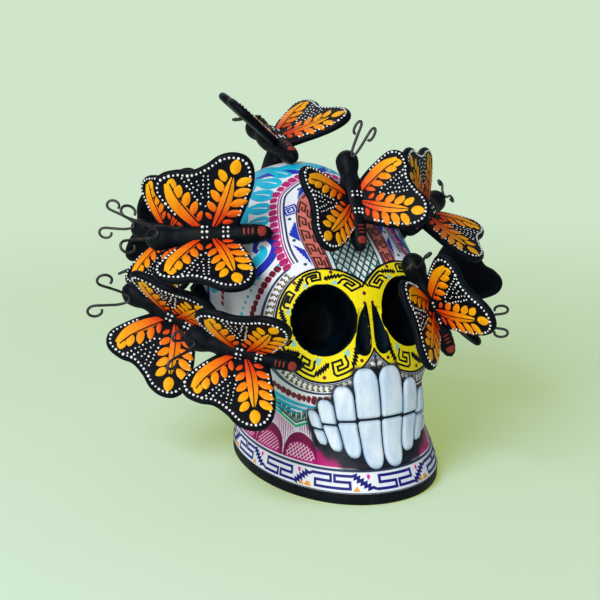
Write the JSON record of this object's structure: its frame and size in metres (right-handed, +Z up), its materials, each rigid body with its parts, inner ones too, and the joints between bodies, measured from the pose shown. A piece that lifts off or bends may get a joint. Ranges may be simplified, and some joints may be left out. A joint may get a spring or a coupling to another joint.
{
  "type": "skull ornament",
  "caption": "Painted earthenware skull ornament on a flat oval foot, with hollow eye sockets, raised teeth and clay butterflies standing on short pedestals around it.",
  "frame": {"origin": "middle of the foot slab's flat underside", "axes": "+Z up, the face looks along -Y, +X is the skull's own left"},
  "size_m": [0.2026, 0.2101, 0.167],
  "materials": {
    "foot_paint": "matt black paint on fired clay",
    "skull_glaze": "white ground with painted ornament under a satin varnish",
    "body_paint": "matt black paint on fired clay",
    "wing_paint": "black ground with orange and yellow petals and white dots, satin",
    "feeler_wire": "black painted steel wire"
  },
  "bodies": {
    "root": {"foot_slab": "foot_paint", "skull_shell": "skull_glaze", "right_temple_butterfly_body": "body_paint", "right_temple_butterfly_left_wing": "wing_paint", "right_temple_butterfly_right_wing": "wing_paint", "right_temple_butterfly_feelers": "feeler_wire", "right_temple_butterfly_pedestal": "body_paint", "right_rear_butterfly_body": "body_paint", "right_rear_butterfly_left_wing": "wing_paint", "right_rear_butterfly_right_wing": "wing_paint", "right_rear_butterfly_feelers": "feeler_wire", "right_rear_butterfly_pedestal": "body_paint", "right_side_butterfly_body": "body_paint", "right_side_butterfly_left_wing": "wing_paint", "right_side_butterfly_right_wing": "wing_paint", "right_side_butterfly_feelers": "feeler_wire", "right_side_butterfly_pedestal": "body_paint", "right_cheek_butterfly_body": "body_paint", "right_cheek_butterfly_left_wing": "wing_paint", "right_cheek_butterfly_right_wing": "wing_paint", "right_cheek_butterfly_feelers": "feeler_wire", "right_cheek_butterfly_pedestal": "body_paint", "crown_butterfly_body": "body_paint", "crown_butterfly_left_wing": "wing_paint", "crown_butterfly_right_wing": "wing_paint", "crown_butterfly_feelers": "feeler_wire", "crown_butterfly_pedestal": "body_paint", "forehead_butterfly_body": "body_paint", "forehead_butterfly_left_wing": "wing_paint", "forehead_butterfly_right_wing": "wing_paint", "forehead_butterfly_feelers": "feeler_wire", "forehead_butterfly_pedestal": "body_paint", "left_temple_butterfly_body": "body_paint", "left_temple_butterfly_left_wing": "wing_paint", "left_temple_butterfly_right_wing": "wing_paint", "left_temple_butterfly_feelers": "feeler_wire", "left_temple_butterfly_pedestal": "body_paint", "left_eye_butterfly_body": "body_paint", "left_eye_butterfly_left_wing": "wing_paint", "left_eye_butterfly_right_wing": "wing_paint", "left_eye_butterfly_feelers": "feeler_wire", "left_eye_butterfly_pedestal": "body_paint", "left_side_butterfly_body": "body_paint", "left_side_butterfly_left_wing": "wing_paint", "left_side_butterfly_right_wing": "wing_paint", "left_side_butterfly_feelers": "feeler_wire", "left_side_butterfly_pedestal": "body_paint", "right_back_butterfly_body": "body_paint", "right_back_butterfly_left_wing": "wing_paint", "right_back_butterfly_right_wing": "wing_paint", "right_back_butterfly_feelers": "feeler_wire", "right_back_butterfly_pedestal": "body_paint"}
  },
  "joints": []
}
